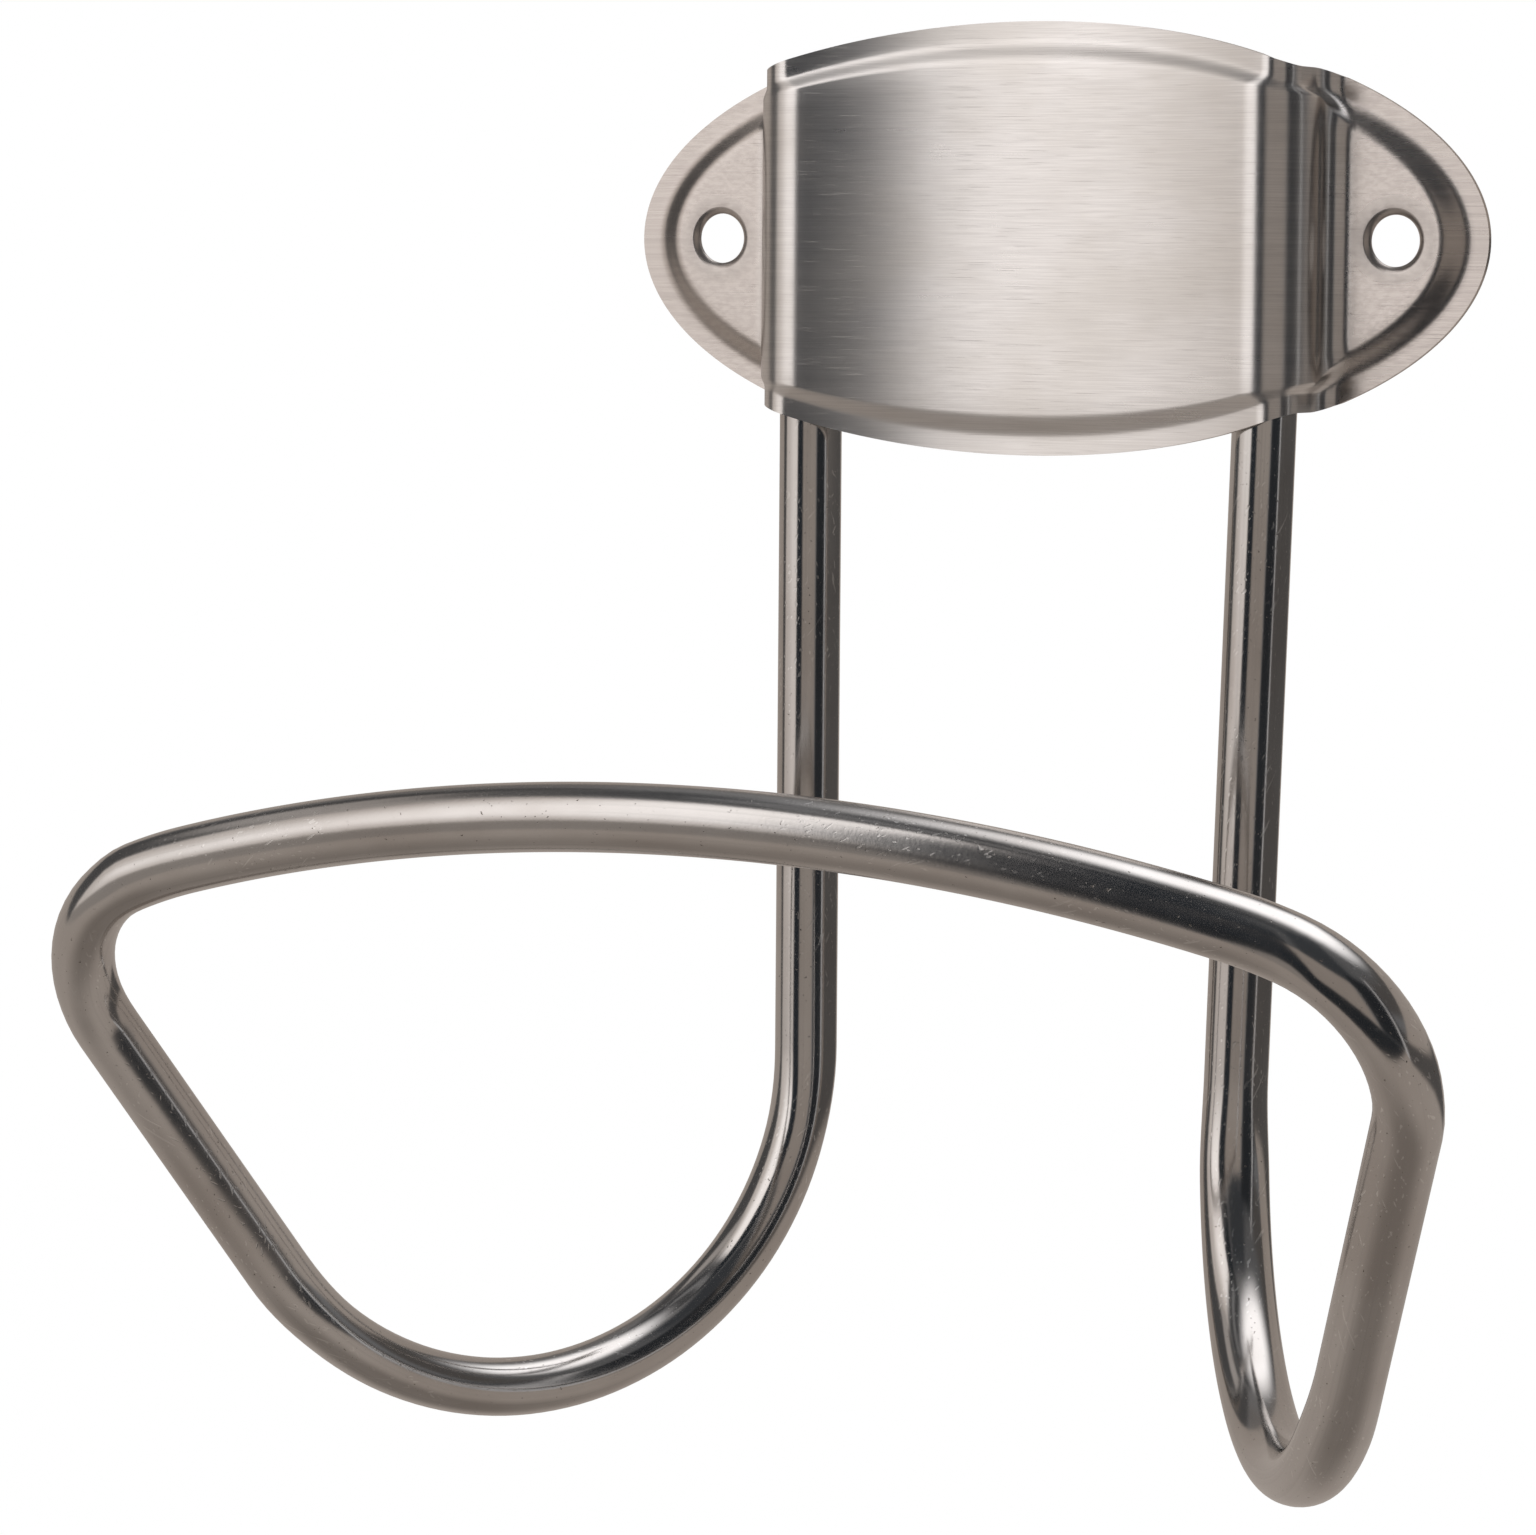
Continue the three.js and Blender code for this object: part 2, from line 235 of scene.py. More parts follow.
def front_sheet():
    """The front surface, with how far along the sheet each vertex lies and the step to its back."""
    bm = bmesh.new()
    along = bm.verts.layers.float.new("along")
    behind = bm.verts.layers.float_vector.new("behind")
    columns = plate_columns()
    grid = []
    for column, travelled in zip(columns, lengths_along(columns)):
        line = []
        for x, y, z, step in column:
            vertex = bm.verts.new((x, y, z))
            vertex[along] = travelled
            vertex[behind] = (step.x, step.y, 0)
            line.append(vertex)
        grid.append(line)
    for first, second in zip(grid, grid[1:]):
        for row in range(len(first) - 1):
            bm.faces.new((first[row], first[row + 1], second[row + 1], second[row]))
    bmesh.ops.remove_doubles(bm, verts=bm.verts, dist=1e-3)
    return bm


HOLE_SIDES = 96
# Faces this near a hole's centre are cleared, and the jagged edge they leave is looked for within
# the second radius.
HOLE_PATCH_RADIUS = 5.1
HOLE_SEARCH_RADIUS = HOLE_PATCH_RADIUS * 1.4
# The hole's edge from the front of the ear to its back: (radius, share of the sheet's depth).
HOLE_EDGE = [(3.98, 0.02), (3.72, 0.14), (3.46, 0.34), (3.28, 0.54), (SCREW_HOLE_RADIUS, 0.7)]


def open_hole(bm, x):
    """Cuts a round hole in the ear's flat and returns its vertices in order."""
    along = bm.verts.layers.float["along"]
    behind = bm.verts.layers.float_vector["behind"]
    centre = Vector((x, -PRESSED["ear_standoff"], 0))
    doomed = [f for f in bm.faces if (f.calc_center_median() - centre).length < HOLE_PATCH_RADIUS]
    nearest = min(bm.verts, key=lambda v: (v.co - centre).length)
    centre_along = nearest[along] + (x - nearest.co.x)
    bmesh.ops.delete(bm, geom=doomed, context="FACES")
    boundary = [e for e in bm.edges if e.is_boundary]
    jagged = [e for e in boundary if (e.verts[0].co - centre).length < HOLE_SEARCH_RADIUS]
    circle = []
    for side in range(HOLE_SIDES):
        angle = 2 * pi * side / HOLE_SIDES
        offset = Vector((cos(angle), 0, sin(angle))) * SCREW_RIM_RADIUS
        vertex = bm.verts.new(centre + offset)
        vertex[along] = centre_along + offset.x
        vertex[behind] = (0, SHEET, 0)
        circle.append(vertex)
    ring = [bm.edges.new((a, b)) for a, b in zip(circle, circle[1:] + circle[:1])]
    made = bmesh.ops.triangle_fill(bm, use_beauty=True, edges=jagged + ring, normal=(0, -1, 0))
    for face in made["geom"]:
        if isinstance(face, bmesh.types.BMFace) and face.normal.y > 0:
            face.normal_flip()
    return circle


def thicken(bm, holes):
    """Adds the sheet's back, its cut edge and the edges of its holes."""
    along = bm.verts.layers.float["along"]
    behind = bm.verts.layers.float_vector["behind"]
    back = {}
    hole_of = {vertex: hole for hole in holes for vertex in hole}
    faces = bm.faces[:]
    cut = [e.link_loops[0] for e in bm.edges if e.is_boundary and e.verts[0] not in hole_of]
    for vertex in bm.verts[:]:
        place = vertex.co + vertex[behind]
        if vertex in hole_of:
            centre = Vector((SCREW_X if vertex.co.x > 0 else -SCREW_X, place.y, 0))
            place = centre + (place - centre) * (SCREW_HOLE_RADIUS / SCREW_RIM_RADIUS)
        twin = bm.verts.new(place)
        twin[along] = vertex[along]
        back[vertex] = twin
    for loop in cut:
        start = loop.vert
        end = loop.link_loop_next.vert
        bm.faces.new((end, start, back[start], back[end]))
    for face in faces:
        bm.faces.new([back[v] for v in reversed(face.verts)])
    for hole in holes:
        line_hole(bm, hole, [back[v] for v in hole])


def line_hole(bm, front, back):
    """Lines a hole from the ring round its front to the ring round its back."""
    along = bm.verts.layers.float["along"]
    centre = sum((v.co for v in front), Vector()) / len(front)
    rings = [front]
    for radius, depth in HOLE_EDGE:
        ring = []
        for vertex in front:
            offset = (vertex.co - centre) * (radius / SCREW_RIM_RADIUS)
            offset.y = SHEET * depth
            lined = bm.verts.new(centre + offset)
            lined[along] = vertex[along]
            ring.append(lined)
        rings.append(ring)
    rings.append(back)
    for outer, inner in zip(rings, rings[1:]):
        for i in range(len(outer)):
            j = (i + 1) % len(outer)
            bm.faces.new((outer[i], outer[j], inner[j], inner[i]))


def finish_mesh(bm, name, sharp_degrees=40):
    """A mesh in metres, shaded smooth except over its sharp edges."""
    bmesh.ops.recalc_face_normals(bm, faces=bm.faces)
    bmesh.ops.scale(bm, vec=(MM, MM, MM), verts=bm.verts)
    mesh = bpy.data.meshes.new(name)
    bm.to_mesh(mesh)
    bm.free()
    mesh.shade_smooth()
    mesh.set_sharp_from_angle(angle=radians(sharp_degrees))
    return mesh


def face_plate(material):
    bm = front_sheet()
    holes = [open_hole(bm, side * SCREW_X) for side in (-1, 1)]
    thicken(bm, holes)
    uv = bm.loops.layers.uv.new("sheet")
    along = bm.verts.layers.float["along"]
    for face in bm.faces:
        for loop in face.loops:
            loop[uv].uv = (loop.vert[along] * MM, loop.vert.co.z * MM)
    mesh = finish_mesh(bm, "pressed_plate")
    return add_piece("pressed_plate", mesh, material)


# --- Tube -------------------------------------------------------------------------------------

RING_SPACING = 1.6
TUBE_SIDES = 48
BAR_MIDDLE_HEADING = Vector((-1, 0, 0))

# Where the tube's centreline is, which way it runs, a direction square to that, and the length so
# far. In a bend, inward points to its centre and flat is how much the tube is squeezed that way.
Ring = namedtuple("Ring", "point tangent side length inward flat")


def heading_vector(bend):
    flat = cos(radians(bend["climb"]))
    heading = radians(bend["heading"])
    return Vector((sin(heading) * flat, -cos(heading) * flat, sin(radians(bend["climb"]))))


def leg_point(z):
    return LEG_DATUM + LEG_SLOPE * (LEG_DATUM.z - z)


class Walk:
    """A walk along the tube's centreline, which leaves a ring at every step."""

    def __init__(self, start, tangent):
        self.rings = []
        self.point = start
        self.tangent = tangent
        self.side = Vector((1, 0, 0)).cross(tangent).cross(tangent).normalized()
        self.length = 0.0
        self.leave(None, 1.0)

    def leave(self, inward, flat):
        place = (self.point.copy(), self.tangent.copy(), self.side.copy(), self.length)
        self.rings.append(Ring(*place, inward, flat))

    def straight(self, length):
        count = max(1, round(length / RING_SPACING))
        for _ in range(count):
            self.point += self.tangent * (length / count)
            self.length += length / count
            self.leave(None, 1.0)

    def bend(self, towards, radius, flat, ease):
        start = self.point.copy()
        tangent = self.tangent.copy()
        side = self.side.copy()
        before = self.length
        angle = tangent.angle(towards)
        inward = (towards - tangent * tangent.dot(towards)).normalized()
        axis = tangent.cross(inward)
        for share in steps(max(2, round(radius * angle / RING_SPACING))):
            turned = angle * share
            self.point = start + tangent * (radius * sin(turned)) + inward * (radius * (1 - cos(turned)))
            turn = Matrix.Rotation(turned, 3, axis)
            self.tangent = turn @ tangent
            self.side = turn @ side
            self.length = before + radius * turned
            eased = smooth(min(1, share / ease, (1 - share) / ease))
            self.leave(turn @ inward, lerp(1, flat, eased))


def crown_radius(point, tangent):
    """The radius that brings the tube level just as it reaches the middle of the bar."""
    angle = tangent.angle(BAR_MIDDLE_HEADING)
    inward = (BAR_MIDDLE_HEADING - tangent * tangent.dot(BAR_MIDDLE_HEADING)).normalized()
    return -point.x / (tangent.x * sin(angle) + inward.x * (1 - cos(angle)))


def half_tube():
    walk = Walk(leg_point(LEG_TOP_Z), LEG_SLOPE.normalized())
    walk.straight((leg_point(LEG_BOTTOM_Z) - leg_point(LEG_TOP_Z)).length)
    walk.bend(heading_vector(J_BEND), J_BEND["radius"], J_BEND["flat"], J_BEND["ease"])
    walk.straight(ARM_LENGTH)
    for bend in (CORNER_BEND, EASING_BEND):
        walk.bend(heading_vector(bend), bend["radius"], bend["flat"], bend["ease"])
    walk.bend(BAR_MIDDLE_HEADING, crown_radius(walk.point, walk.tangent), flat=1, ease=0.5)
    return walk.rings


def ring_points(ring, radius):
    """One ring of the tube's surface: (place, place on the tube before it was bent)."""
    point, tangent, side, length, inward, flat = ring
    other = tangent.cross(side)
    points = []
    for i in range(TUBE_SIDES):
        angle = 2 * pi * i / TUBE_SIDES
        offset = side * cos(angle) + other * sin(angle)
        if inward is not None:
            across = tangent.cross(inward)
            squeezed = inward * ((flat - 1) * offset.dot(inward))
            widened = across * ((1 - flat) * offset.dot(across))
            offset = offset + squeezed + widened
        points.append((point + offset * radius, Vector((cos(angle) * radius, sin(angle) * radius, length))))
    return points


def tube_rows(radius):
    rings = half_tube()
    whole = 2 * rings[-1].length
    right = [ring_points(ring, radius) for ring in rings]
    left = [
        [(Vector((-p.x, p.y, p.z)), Vector((q.x, q.y, whole - q.z))) for p, q in row]
        for row in right[:-1]
    ]
    return right + left[::-1]


def bent_tube(material):
    bm = bmesh.new()
    unbent = bm.verts.layers.float_vector.new("unbent")
    surfaces = []
    for radius in (TUBE_RADIUS, TUBE_RADIUS - TUBE_WALL):
        grid = []
        for row in tube_rows(radius):
            line = []
            for place, before in row:
                vertex = bm.verts.new(place)
                vertex[unbent] = before * MM
                line.append(vertex)
            grid.append(line)
        surfaces.append(grid)
    for grid in surfaces:
        for first, second in zip(grid, grid[1:]):
            for i in range(TUBE_SIDES):
                j = (i + 1) % TUBE_SIDES
                bm.faces.new((first[i], first[j], second[j], second[i]))
    outside, bore = surfaces
    for end in (0, -1):
        for i in range(TUBE_SIDES):
            j = (i + 1) % TUBE_SIDES
            bm.faces.new((outside[end][i], outside[end][j], bore[end][j], bore[end][i]))
    mesh = finish_mesh(bm, "bent_tube_wall", sharp_degrees=50)
    return add_piece("drawn_tube", mesh, material)


# --- Welds ------------------------------------------------------------------------------------

# From the leg's axis to a bead's middle, and half the bead's size. TOUCH keeps it off the leg and
# the plate. Ripples and lumps swell it by shares of its size.
WELD_OFFSET = Vector((-4.9, -3, 0))
WELD_HALF_SIZE = Vector((2.3, 2, 3))
WELD_SEGMENTS = 44
RIPPLE_SPACING = 0.8
RIPPLE_SWELL = 0.035
LUMP_SWELL = 0.05
TOUCH = 0.02


def kept_clear(point, plate_back):
    """Moves a point of a bead out of the leg and out of the plate."""
    axis = LEG_SLOPE.normalized()
    nearest = LEG_DATUM + axis * (point - LEG_DATUM).dot(axis)
    out = point - nearest
    if out.length < TUBE_RADIUS + TOUCH:
        point = nearest + out.normalized() * (TUBE_RADIUS + TOUCH)
    hit = plate_back.ray_cast(Vector((point.x, 0, point.z)) * MM, Vector((0, -1, 0)))[0]
    if hit is not None:
        point.y = max(point.y, hit.y / MM + TOUCH)
    return point


def weld_bead(side, level, plate_back, material):
    """A short bead with the ripples its passes left, squeezed between a leg and the plate's back."""
    centre = leg_point(WELD_HEIGHTS[level]) + WELD_OFFSET
    bm = bmesh.new()
    bmesh.ops.create_uvsphere(bm, u_segments=WELD_SEGMENTS, v_segments=WELD_SEGMENTS, radius=1)
    for vertex in bm.verts:
        ball = vertex.co
        ripple = sin(2 * pi * (ball.z * WELD_HALF_SIZE.z + 0.5 * ball.x * ball.x) / RIPPLE_SPACING)
        lump = sin(3.1 * ball.x + 2.3 * ball.z + WELD_HEIGHTS[level]) * sin(2.7 * ball.y - 1.9 * ball.z)
        swell = 1 - LUMP_SWELL + RIPPLE_SWELL * ripple * (1 - ball.z**4) + LUMP_SWELL * lump
        point = kept_clear(centre + ball * WELD_HALF_SIZE * swell, plate_back)
        vertex.co = Vector((side * point.x, point.y, point.z))
    mesh = finish_mesh(bm, f"weld_{level}", sharp_degrees=60)
    return add_piece(f"weld_bead_{'right' if side > 0 else 'left'}_{level}", mesh, material)


# --- Materials --------------------------------------------------------------------------------


def fill(socket, value):
    """Sets a socket to a number or colour, or links it to another node's output."""
    if isinstance(value, bpy.types.NodeSocket):
        socket.id_data.links.new(value, socket)
    else:
        socket.default_value = value


def node(tree, kind, *values, **settings):
    """Adds a node, fills its first sockets with the values and returns its first output, if any."""
    made = tree.nodes.new("ShaderNode" + kind)
    for name, value in settings.items():
        setattr(made, name, value)
    for socket, value in zip(made.inputs, values):
        if value is not None:
            fill(socket, value)
    return made.outputs[0] if made.outputs else None


def math(tree, operation, *values):
    return node(tree, "Math", *values, operation=operation)


def remap(tree, value, low, high):
    """A smooth step from 0 at low to 1 at high, where high may be the smaller of the two."""
    return node(tree, "MapRange", value, low, high, interpolation_type="SMOOTHSTEP")


# A mix node has sockets for every kind of data under the same names. These are the colour ones.
MIX_FIRST = 6
MIX_SECOND = 7
MIX_RESULT = 2


def mix_colour(tree, share, first, second):
    made = tree.nodes.new("ShaderNodeMix")
    made.data_type = "RGBA"
    fill(made.inputs["Factor"], share)
    fill(made.inputs[MIX_FIRST], first)
    fill(made.inputs[MIX_SECOND], second)
    return made.outputs[MIX_RESULT]


def vector_math(tree, operation, *values):
    made = tree.nodes.new("ShaderNodeVectorMath")
    made.operation = operation
    for socket, value in zip(made.inputs, values):
        fill(socket, value)
    return made


NOISE_ROUGHNESS = 0.55


def noise(tree, place, per_metre, detail):
    """Noise from about 0.3 to 0.7, with its number of cells to the metre given along each axis."""
    stretched = vector_math(tree, "MULTIPLY", place, per_metre).outputs["Vector"]
    return node(tree, "TexNoise", stretched, None, 1.0, detail, NOISE_ROUGHNESS)


def weighed(tree, *pairs):
    """The sum of several values, each times its weight."""
    total = None
    for value, weight in pairs:
        part = math(tree, "MULTIPLY", value, weight)
        total = part if total is None else math(tree, "ADD", total, part)
    return total


MICRON = 1e-6


def relief(tree, shader, microns, lean=None):
    """Bumps the surface by a height given in micrometres, and can lean its reflections a little."""
    bump = tree.nodes.new("ShaderNodeBump")
    bump.inputs["Strength"].default_value = 1
    bump.inputs["Distance"].default_value = MICRON
    fill(bump.inputs["Height"], microns)
    normal = bump.outputs[0]
    if lean:
        turned = tree.nodes.new("ShaderNodeVectorRotate")
        turned.rotation_type = "EULER_XYZ"
        turned.inputs["Rotation"].default_value = lean
        fill(turned.inputs["Vector"], normal)
        normal = turned.outputs[0]
    fill(shader.inputs["Normal"], normal)


def surface(name, metallic, roughness):
    """A new material with its node tree and its shader."""
    material = bpy.data.materials.new(name)
    material.use_nodes = True
    shader = material.node_tree.nodes["Principled BSDF"]
    shader.inputs["Metallic"].default_value = metallic
    shader.inputs["Roughness"].default_value = roughness
    return material, material.node_tree, shader


SHEET_MIDDLE = lengths_along(plate_columns())[-1] / 2 * MM

# Turns the plate's reflections, not its shape. The studio's cards suit the tube, and off the plate
# the edge of the bright one falls about 11 degrees away from where the photo has it. Why is unknown.
PLATE_LEAN = (radians(-5), 0, radians(-4.6))

# Metres along the sheet from its middle, then metres from a screw hole's centre.
EAR_START = 0.0466
EAR_BLEND = 0.0012
SCREW_ALONG = 0.0527
RUBBED_TO = 0.0046
UNRUBBED_FROM = 0.0062

GRAIN_DARK = (0.65, 0.633, 0.62, 1)
GRAIN_LIGHT = (0.75, 0.732, 0.715, 1)
SHEET_STAIN = (0.62, 0.59, 0.55, 1)
HAIRLINE = (0.47, 0.45, 0.44, 1)
SATIN_LIGHT = (0.55, 0.51, 0.48, 1)
SATIN_DARK = (0.5, 0.46, 0.435, 1)
RUBBED = (0.5, 0.48, 0.46, 1)


def brushed_steel():
    """Sheet brushed along its length, with satin ears and rubbed rings round the screw holes."""
    material, tree, shader = surface("brushed_steel", 1, 0.34)
    sheet_map = tree.nodes.new("ShaderNodeUVMap")
    sheet_map.uv_map = "sheet"
    sheet = sheet_map.outputs[0]
    split = tree.nodes.new("ShaderNodeSeparateXYZ")
    fill(split.inputs[0], sheet)
    along = math(tree, "ABSOLUTE", math(tree, "SUBTRACT", split.outputs[0], SHEET_MIDDLE))

    fine = noise(tree, sheet, (110, 5600, 1), 3)
    broad = noise(tree, sheet, (16, 900, 1), 3)
    hairline = remap(tree, noise(tree, sheet, (130, 7500, 1), 1), 0.66, 0.74)
    cloud = noise(tree, sheet, (42, 60, 1), 4)
    rub = noise(tree, sheet, (900, 1600, 1), 4)
    ear = remap(tree, along, EAR_START - EAR_BLEND, EAR_START + EAR_BLEND)

    place = tree.nodes.new("ShaderNodeCombineXYZ")
    fill(place.inputs[0], math(tree, "SUBTRACT", along, SCREW_ALONG))
    fill(place.inputs[1], split.outputs[1])
    from_screw = vector_math(tree, "LENGTH", place.outputs[0]).outputs["Value"]
    ring = remap(tree, from_screw, UNRUBBED_FROM, RUBBED_TO)
    turned = tree.nodes.new("ShaderNodeCombineXYZ")
    fill(turned.inputs[0], from_screw)
    circles = noise(tree, turned.outputs[0], (6500, 1, 1), 2)

    grain = weighed(tree, (fine, 0.75), (broad, 0.25))
    colour = mix_colour(tree, remap(tree, grain, 0.36, 0.64), GRAIN_DARK, GRAIN_LIGHT)
    stain = math(tree, "MULTIPLY", remap(tree, cloud, 0.4, 0.66), 0.4)
    colour = mix_colour(tree, stain, colour, SHEET_STAIN)
    colour = mix_colour(tree, math(tree, "MULTIPLY", hairline, 0.35), colour, HAIRLINE)
    dull = mix_colour(tree, remap(tree, rub, 0.38, 0.62), SATIN_LIGHT, SATIN_DARK)
    colour = mix_colour(tree, ear, colour, dull)
    worn = math(tree, "MULTIPLY", ring, remap(tree, circles, 0.42, 0.62))
    colour = mix_colour(tree, math(tree, "MULTIPLY", worn, 0.35), colour, RUBBED)
    fill(shader.inputs["Base Color"], colour)

    roughness = weighed(tree, (cloud, 0.12), (broad, 0.04), (ear, -0.02), (ring, 0.05))
    fill(shader.inputs["Roughness"], math(tree, "ADD", roughness, 0.21))
    fill(shader.inputs["Anisotropic"], math(tree, "SUBTRACT", 0.72, math(tree, "MULTIPLY", ear, 0.42)))
    shader.inputs["Anisotropic Rotation"].default_value = 0.25
    tangent = tree.nodes.new("ShaderNodeTangent")
    tangent.direction_type = "UV_MAP"
    tangent.uv_map = "sheet"
    fill(shader.inputs["Tangent"], tangent.outputs[0])

    satin = math(tree, "MULTIPLY", rub, ear)
    rings = math(tree, "MULTIPLY", circles, ring)
    bumps = weighed(tree, (fine, 9), (broad, 4), (hairline, -4), (satin, 14), (rings, 6))
    relief(tree, shader, bumps, PLATE_LEAN)
    return material


TUBE_MIDDLE = half_tube()[-1].length * MM

# Metres along the tube from its middle: the bar is satin up to the first and polished from the
# second.
BAR_SATIN_TO = 0.042
BAR_POLISHED_FROM = 0.092

# Stray scratches run along the tube in two families, each turned by a pair of angles in radians.
# One cell of their noise is this large, in metres.
SCRATCH_TURNS = ((0.5, 0.2), (-0.35, 0.5))
SCRATCH_SIZE = (1 / 2600, 1 / 2600, 1 / 110)

TUBE_BRIGHT = (0.61, 0.595, 0.58, 1)
TUBE_HAZE = (0.52, 0.495, 0.475, 1)
TUBE_LINE = (0.46, 0.45, 0.44, 1)
SCRATCH = (0.8, 0.79, 0.77, 1)
PIT = (0.14, 0.12, 0.1, 1)


def drawn_steel():
    """Polished tube: lines along it from drawing, a handled satin bar, pits and stray scratches."""
    material, tree, shader = surface("drawn_steel", 1, 0.16)
    unbent_map = tree.nodes.new("ShaderNodeAttribute")
    unbent_map.attribute_name = "unbent"
    unbent = unbent_map.outputs["Vector"]
    split = tree.nodes.new("ShaderNodeSeparateXYZ")
    fill(split.inputs[0], unbent)
    from_middle = math(tree, "ABSOLUTE", math(tree, "SUBTRACT", split.outputs[2], TUBE_MIDDLE))
    bar = remap(tree, from_middle, BAR_POLISHED_FROM, BAR_SATIN_TO)

    dies = noise(tree, unbent, (1700, 1700, 9), 3)
    mottle = noise(tree, unbent, (420, 420, 300), 4)
    haze = noise(tree, unbent, (90, 90, 34), 4)
    specks = noise(tree, unbent, (2400, 2400, 2100), 2)
    pit = remap(tree, specks, 0.69, 0.76)
    strokes = []
    for slant, spread in SCRATCH_TURNS:
        slanted = tree.nodes.new("ShaderNodeMapping")
        slanted.vector_type = "TEXTURE"
        slanted.inputs["Rotation"].default_value = (slant, spread, 0)
        slanted.inputs["Scale"].default_value = SCRATCH_SIZE
        fill(slanted.inputs["Vector"], unbent)
        strokes.append(remap(tree, noise(tree, slanted.outputs[0], (1, 1, 1), 0), 0.735, 0.8))
    patch = remap(tree, noise(tree, unbent, (70, 70, 40), 1), 0.42, 0.6)
    scratch = math(tree, "MULTIPLY", math(tree, "MAXIMUM", *strokes), patch)
    satin = math(tree, "MAXIMUM", bar, remap(tree, haze, 0.56, 0.66))

    colour = mix_colour(tree, remap(tree, haze, 0.35, 0.65), TUBE_BRIGHT, TUBE_HAZE)
    drawn = math(tree, "MULTIPLY", remap(tree, dies, 0.5, 0.7), 0.3)
    colour = mix_colour(tree, drawn, colour, TUBE_LINE)
    colour = mix_colour(tree, math(tree, "MULTIPLY", scratch, 0.6), colour, SCRATCH)
    colour = mix_colour(tree, math(tree, "MULTIPLY", pit, 0.75), colour, PIT)
    fill(shader.inputs["Base Color"], colour)

    roughness = weighed(tree, (satin, 0.05), (mottle, 0.06), (dies, 0.05), (scratch, 0.1), (pit, 0.2))
    fill(shader.inputs["Roughness"], math(tree, "ADD", roughness, 0.075))
    grit = math(tree, "MULTIPLY", specks, bar)
    bumps = weighed(tree, (dies, 2.8), (mottle, 4.5), (haze, 14), (grit, 5), (pit, -9), (scratch, -4))
    relief(tree, shader, bumps)
    return material


HEAT_BLUE = (0.3, 0.31, 0.37, 1)
HEAT_STRAW = (0.47, 0.36, 0.22, 1)
SILVERY = (0.56, 0.53, 0.49, 1)
SOOT = (0.13, 0.115, 0.1, 1)


def weld_metal():
    """Silvery bead with straw and blue heat tints and soot in its hollows."""
    material, tree, shader = surface("weld_metal", 1, 0.45)
    place = tree.nodes.new("ShaderNodeTexCoord").outputs["Object"]
    heat = noise(tree, place, (260, 260, 260), 3)
    crust = noise(tree, place, (1900, 1900, 1900), 4)
    colour = mix_colour(tree, remap(tree, heat, 0.36, 0.5), HEAT_BLUE, SILVERY)
    colour = mix_colour(tree, remap(tree, heat, 0.52, 0.62), colour, HEAT_STRAW)
    colour = mix_colour(tree, remap(tree, crust, 0.55, 0.7), colour, SOOT)
    fill(shader.inputs["Base Color"], colour)
    fill(shader.inputs["Roughness"], math(tree, "ADD", math(tree, "MULTIPLY", crust, 0.5), 0.2))
    relief(tree, shader, weighed(tree, (crust, 30), (heat, 20)))
    return material


# --- Stage ------------------------------------------------------------------------------------


WHITE = (1, 1, 1, 1)

# In metres, as are the camera's place and clip below.
FLOOR_REACH = 6
FLOOR_HEIGHT = -0.6


def stage_floor():
    """A white floor that the metal doesn't reflect."""
    mesh = bpy.data.meshes.new("floor")
    signs = ((-1, -1), (1, -1), (1, 1), (-1, 1))
    corners = [(x * FLOOR_REACH, y * FLOOR_REACH, FLOOR_HEIGHT) for x, y in signs]
    mesh.from_pydata(corners, [], [(0, 1, 2, 3)])
    material, _, shader = surface("floor_paint", 0, 0.9)
    shader.inputs["Base Color"].default_value = WHITE
    shader.inputs["Specular IOR Level"].default_value = 0
    floor = add_piece("floor", mesh, material)
    floor.visible_glossy = False


# What the metal reflects: cards round the object, each laid over the ones before it. A window is
# (azimuths, elevations, softness) in degrees, with azimuth 0 towards -Y and 90 towards +X, and a
# cap is (azimuth, elevation, radius, softness). Then come how bright the card is and its warmth.
BACKDROP = (0.22, 1.0)
CARDS = [
    ("upper dark", "window", (4, 78), (25, 66), 14, 0.06, 0.82),
    ("upper grey", "window", (60, 172), (36, 66), 16, 0.14, 0.95),
    ("right wall", "window", (88, 172), (-14, 40), 12, 0.1, 1.1),
    ("right shine", "window", (84, 135), (9, 19), 8, 0.2, 0.95),
    ("left wall", "window", (-182, -126), (-14, 44), 8, 0.2, 1.1),
    ("left gap", "window", (-124, -70), (-12, 55), 6, 0.09, 1.0),
    ("softbox spill", "window", (-74, -23), (-36, 2), 6, 0.3, 1.2),
    ("softbox", "window", (-72, -20), (-6, 53), 6, 0.7, 1.16),
    ("softbox core", "window", (-53, -10), (4, 62), 24, 1.45, 1.06),
    ("ceiling", "window", (-140, 5), (57, 92), 5, 0.07, 0.93),
    ("ceiling tube", "window", (-95, -12), (64, 69), 3, 0.26, 0.98),
    ("side light", "window", (-108, -66), (38, 50), 5, 0.45, 1.12),
    ("right gap", "window", (50, 90), (-8, 36), 5, 0.03, 0.78),
    ("front gap", "window", (-22.5, 1), (-38, 62), 4, 0.03, 0.68),
    ("room", "window", (-1, 47), (-8, 27), 5, 0.33, 1.26),
    ("table drop", "window", (-22, 110), (-60, -8), 3, 0.03, 0.75),
    ("table", "cap", 180, -52, 90, 2.5, 0.38, 1.26),
    ("table under", "cap", 0, -90, 34, 34, 0.22, 1.28),
    ("far table", "window", (86, 176), (-13, 3), 5, 0.1, 1.1),
    ("skylight", "cap", 155, 72, 24, 20, 1.8, 1.0),
    ("strip", "window", (82, 86), (-10, 40), 1, 0.6, 1.0),
]


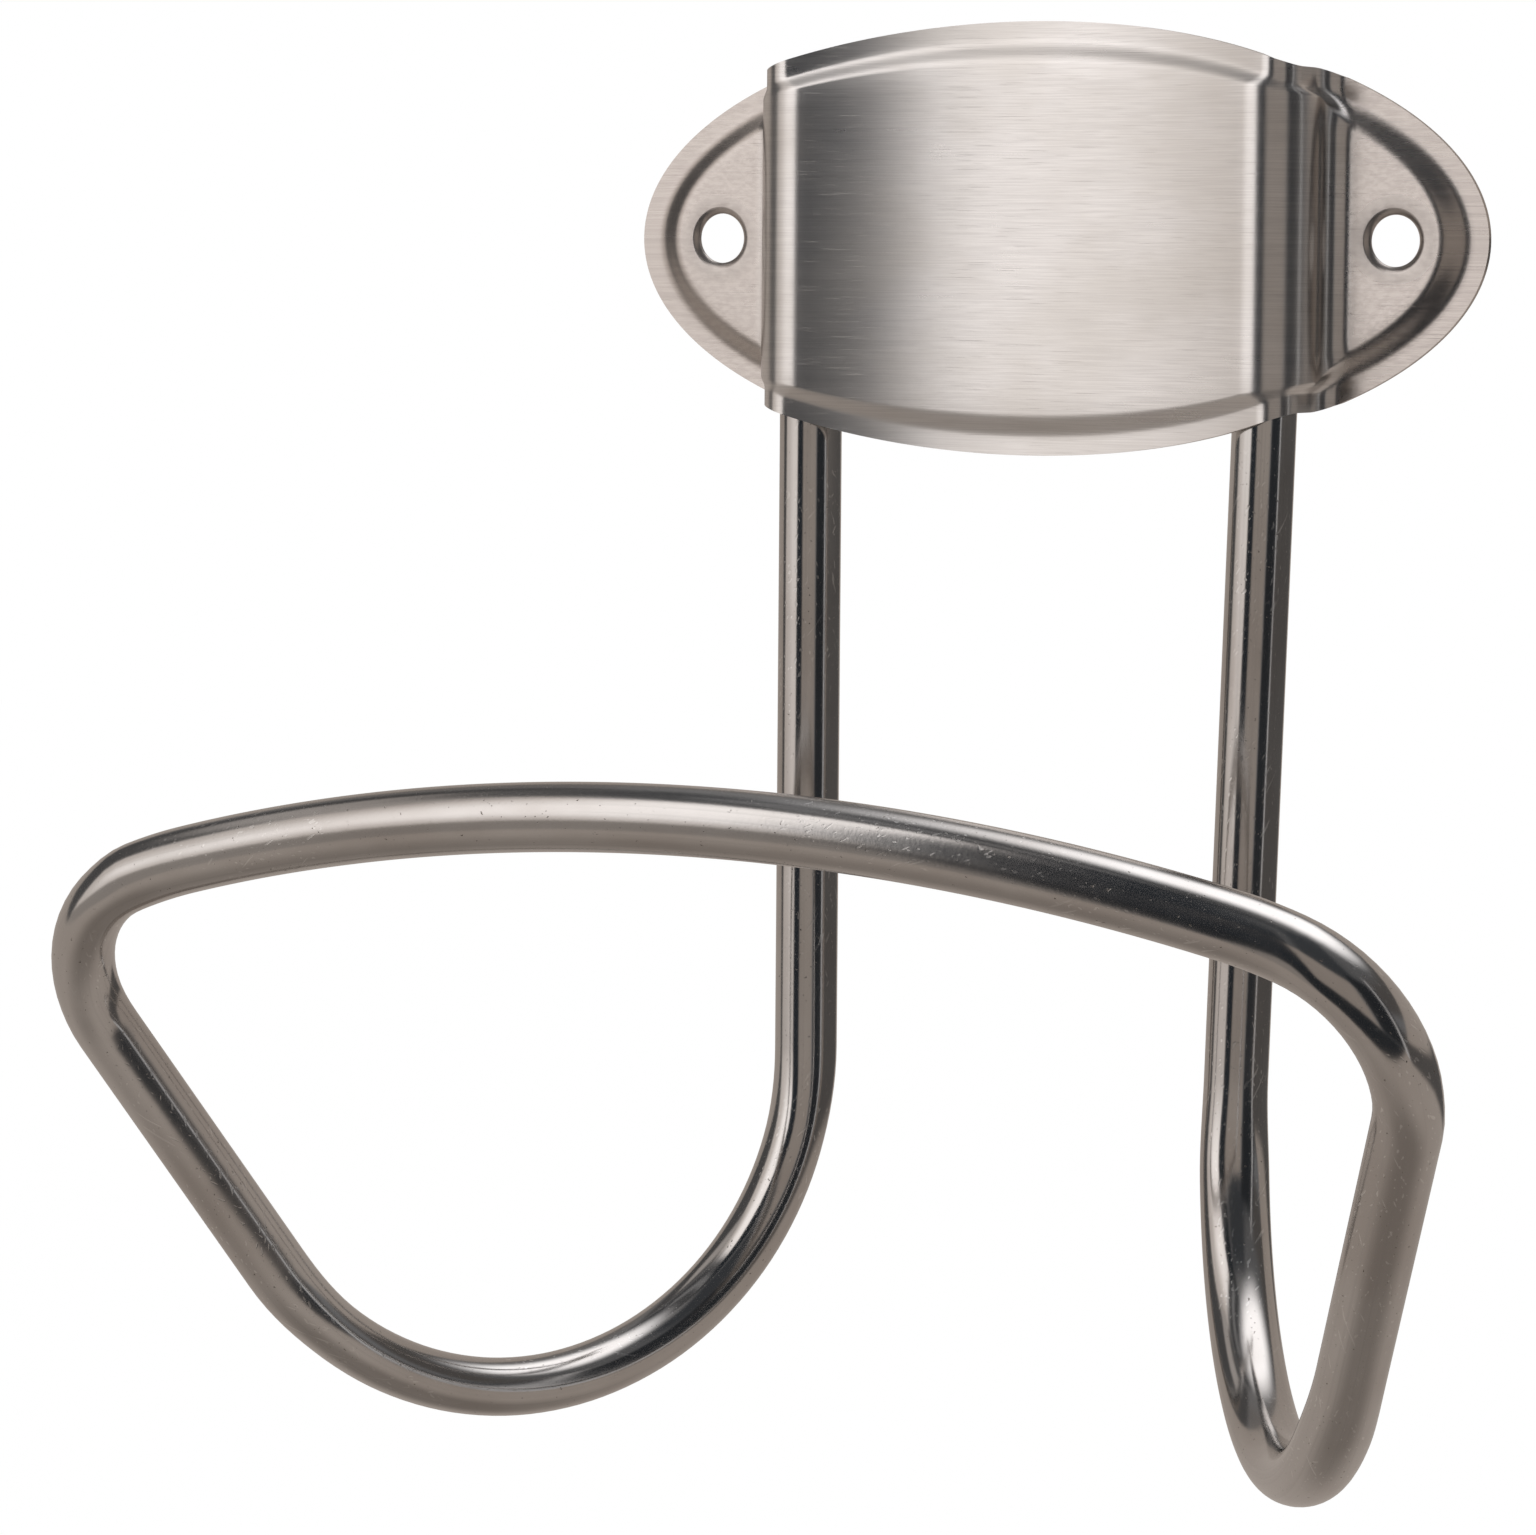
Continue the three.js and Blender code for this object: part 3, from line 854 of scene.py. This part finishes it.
# The green of a card or of the backdrop, next to its brightness.
GREEN_SHARE = 0.988


def tinted(brightness, warmth):
    return (brightness * sqrt(warmth), brightness * GREEN_SHARE, brightness / sqrt(warmth), 1)


def band_share(tree, value, low, high, soft):
    """1 inside a range and 0 outside it, with soft edges."""
    offset = math(tree, "ABSOLUTE", math(tree, "SUBTRACT", value, (low + high) / 2))
    half = (high - low) / 2
    return remap(tree, offset, half + soft / 2, half - soft / 2)


def studio_world():
    """White to the eye and to the floor, and a studio of soft cards to the metal."""
    world = bpy.data.worlds.new("studio")
    world.use_nodes = True
    world.cycles.sampling_method = "NONE"
    bpy.context.scene.world = world
    tree = world.node_tree
    tree.nodes.clear()
    towards = tree.nodes.new("ShaderNodeTexCoord").outputs["Generated"]
    split = tree.nodes.new("ShaderNodeSeparateXYZ")
    fill(split.inputs[0], towards)
    x, y, z = split.outputs
    azimuth = math(tree, "DEGREES", math(tree, "ARCTAN2", x, math(tree, "MULTIPLY", y, -1.0)))
    elevation = math(tree, "DEGREES", math(tree, "ARCSINE", z))
    colour = tinted(*BACKDROP)
    for _, kind, *shape, brightness, warmth in CARDS:
        if kind == "window":
            (left, right), (bottom, top), soft = shape
            middle = (left + right) / 2
            turned = math(tree, "WRAP", azimuth, middle + 180, middle - 180)
            across = band_share(tree, turned, left, right, soft)
            share = math(tree, "MULTIPLY", across, band_share(tree, elevation, bottom, top, soft))
        else:
            heading, climb, radius, soft = shape
            aim = Vector((sin(radians(heading)), -cos(radians(heading)), 0)) * cos(radians(climb))
            aim.z = sin(radians(climb))
            dot = vector_math(tree, "DOT_PRODUCT", towards, aim).outputs["Value"]
            away = math(tree, "DEGREES", math(tree, "ARCCOSINE", dot))
            share = remap(tree, away, radius + soft / 2, radius - soft / 2)
        colour = mix_colour(tree, share, colour, tinted(brightness, warmth))
    path = tree.nodes.new("ShaderNodeLightPath")
    seen = mix_colour(tree, path.outputs["Is Glossy Ray"], WHITE, colour)
    background = node(tree, "Background", seen, 1.0)
    node(tree, "OutputWorld", background)


# The photo's camera, worked out by taking the object to be the same left and right.
CAMERA_PLACE = Vector((0.3079, -0.6710, -0.0058))
CAMERA_YAW = radians(27.42)
CAMERA_PITCH = radians(4.78)
CAMERA_ROLL = radians(0.46)
CAMERA_LENS = 135.73


def studio_camera():
    camera = bpy.data.objects.new("camera", bpy.data.cameras.new("camera"))
    camera.data.lens = CAMERA_LENS
    camera.data.sensor_width = 36
    camera.data.clip_start = 0.05
    turn = Matrix.Rotation(CAMERA_YAW, 4, "Z") @ Matrix.Rotation(pi / 2 - CAMERA_PITCH, 4, "X")
    camera.matrix_world = Matrix.Translation(CAMERA_PLACE) @ turn @ Matrix.Rotation(CAMERA_ROLL, 4, "Z")
    bpy.context.scene.collection.objects.link(camera)
    bpy.context.scene.camera = camera


bpy.context.scene.view_settings.view_transform = "Standard"
studio_camera()
studio_world()
stage_floor()

plate = face_plate(brushed_steel())
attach(plate, "root")
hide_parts("face_plate")

tube = bent_tube(drawn_steel())
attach(tube, "root")
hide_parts("bent_tube")

plate_back = BVHTree.FromObject(plate, bpy.context.evaluated_depsgraph_get())
bead_metal = weld_metal()
for side, name in ((1, "right"), (-1, "left")):
    for level in WELD_HEIGHTS:
        bead = weld_bead(side, level, plate_back, bead_metal)
        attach(bead, "root")
        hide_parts(f"weld_{name}_{level}")
